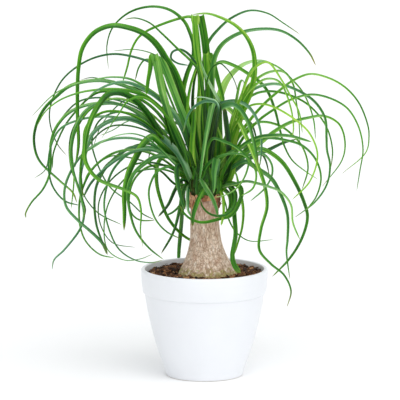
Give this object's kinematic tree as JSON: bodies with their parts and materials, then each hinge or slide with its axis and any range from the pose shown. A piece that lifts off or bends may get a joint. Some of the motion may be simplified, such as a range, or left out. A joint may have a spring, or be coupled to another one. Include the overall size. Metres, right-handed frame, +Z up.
{
  "type": "potted ponytail palm",
  "caption": "Young ponytail palm with a swollen corky stem and a fountain of long arching leaves, standing in bark mix in a plain white pot with a collar.",
  "frame": {"origin": "middle of the pot's flat base, on the surface it stands on", "axes": "+Z up along the pot's axis; -Y is the side seen in the picture; +X to the right in the picture"},
  "size_m": [0.407, 0.3494, 0.4404],
  "materials": {
    "pot_glaze": "smooth satin white glaze",
    "bark_mix": "loose dark bark chips and crumbs, matt",
    "corky_bark": "beige corky bark with fine upright cracks, matt",
    "dry_sheath": "dry, torn, papery leaf bases, brown",
    "leaf": "smooth green strap leaves with fine parallel veins, satin"
  },
  "bodies": {
    "root": {"pot": "pot_glaze", "soil": "bark_mix", "stem": "corky_bark", "dry_leaf_bases": "dry_sheath", "leaf_head": "leaf"}
  },
  "joints": []
}
